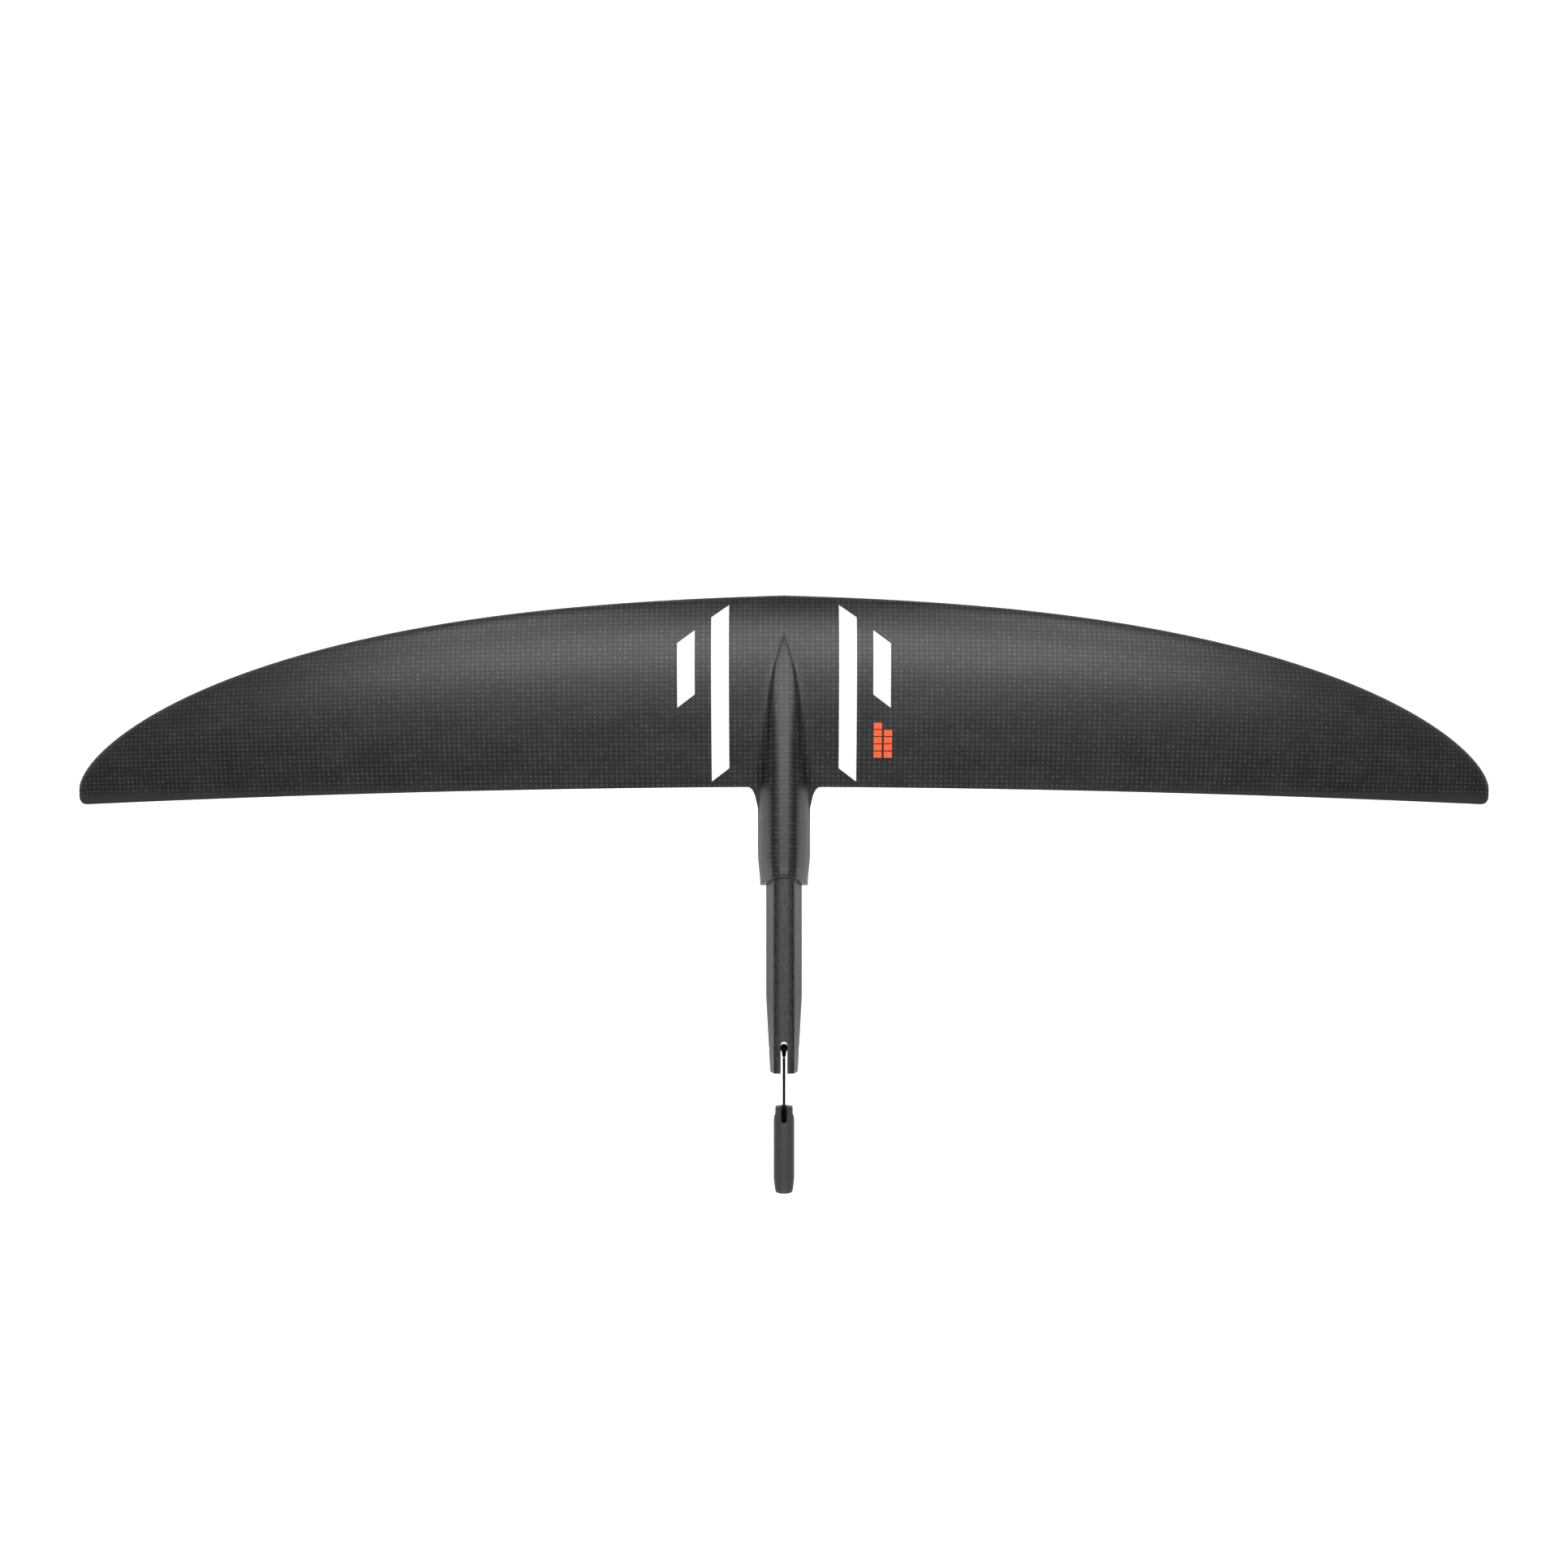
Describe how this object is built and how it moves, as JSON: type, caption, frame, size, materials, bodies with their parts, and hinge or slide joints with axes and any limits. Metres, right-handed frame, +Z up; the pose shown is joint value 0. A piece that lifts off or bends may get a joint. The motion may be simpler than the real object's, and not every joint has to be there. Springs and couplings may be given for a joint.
{
  "type": "hydrofoil front wing",
  "caption": "Arched high-aspect carbon hydrofoil wing with an integral fuselage sleeve, a tapered spigot for the mast foot and a pinned tie rod carrying a draw barrel.",
  "frame": {"origin": "on the spigot's axis, where the spigot leaves the fuselage sleeve and seats against the mast foot", "axes": "+Y along the spigot's axis to the rear, +Z up, towards the rider, +X across the span to the rider's left; the leading edge faces -Y"},
  "size_m": [1.1512, 0.4556, 0.0943],
  "materials": {
    "carbon": "satin clear-coated carbon weave",
    "carbon_plain": "plain unidirectional carbon",
    "foam": "closed-cell core foam",
    "film_white": "satin white film",
    "film_orange": "satin orange film",
    "black_steel": "black oxide stainless steel",
    "brass": "machined brass",
    "grey_polymer": "matte moulded grey polymer"
  },
  "bodies": {
    "wing": {"upper_skin": "carbon", "lower_skin": "carbon", "tip_left": "carbon", "tip_right": "carbon", "spar_cap_upper": "carbon_plain", "spar_cap_lower": "carbon_plain", "spar_web": "carbon_plain", "leading_edge_left": "carbon_plain", "leading_edge_right": "carbon_plain", "trailing_edge_left": "carbon_plain", "trailing_edge_right": "carbon_plain", "front_core_left": "foam", "front_core_right": "foam", "rear_core_left": "foam", "rear_core_right": "foam", "fuselage_core": "foam", "spigot": "carbon", "spigot_core": "foam", "cross_pin": "black_steel", "long_stripe_left": "film_white", "long_stripe_right": "film_white", "short_stripe_left": "film_white", "short_stripe_right": "film_white", "size_mark": "film_orange"},
    "tie_rod": {"rod_eye": "black_steel", "tie_rod": "black_steel", "rod_head": "black_steel"},
    "barrel": {"barrel_sleeve": "grey_polymer", "thrust_washer": "brass", "threaded_insert": "brass"}
  },
  "joints": [
    {"name": "rod_pivot", "type": "hinge", "parent": "wing", "child": "tie_rod", "pos_m": [0, 0.1244, 0], "axis": [1, 0, 0], "range_deg": [-100, 100]},
    {"name": "barrel_spin", "type": "hinge", "parent": "tie_rod", "child": "barrel", "pos_m": [0, 0.187, 0], "axis": [0, 1, 0], "continuous": true}
  ]
}
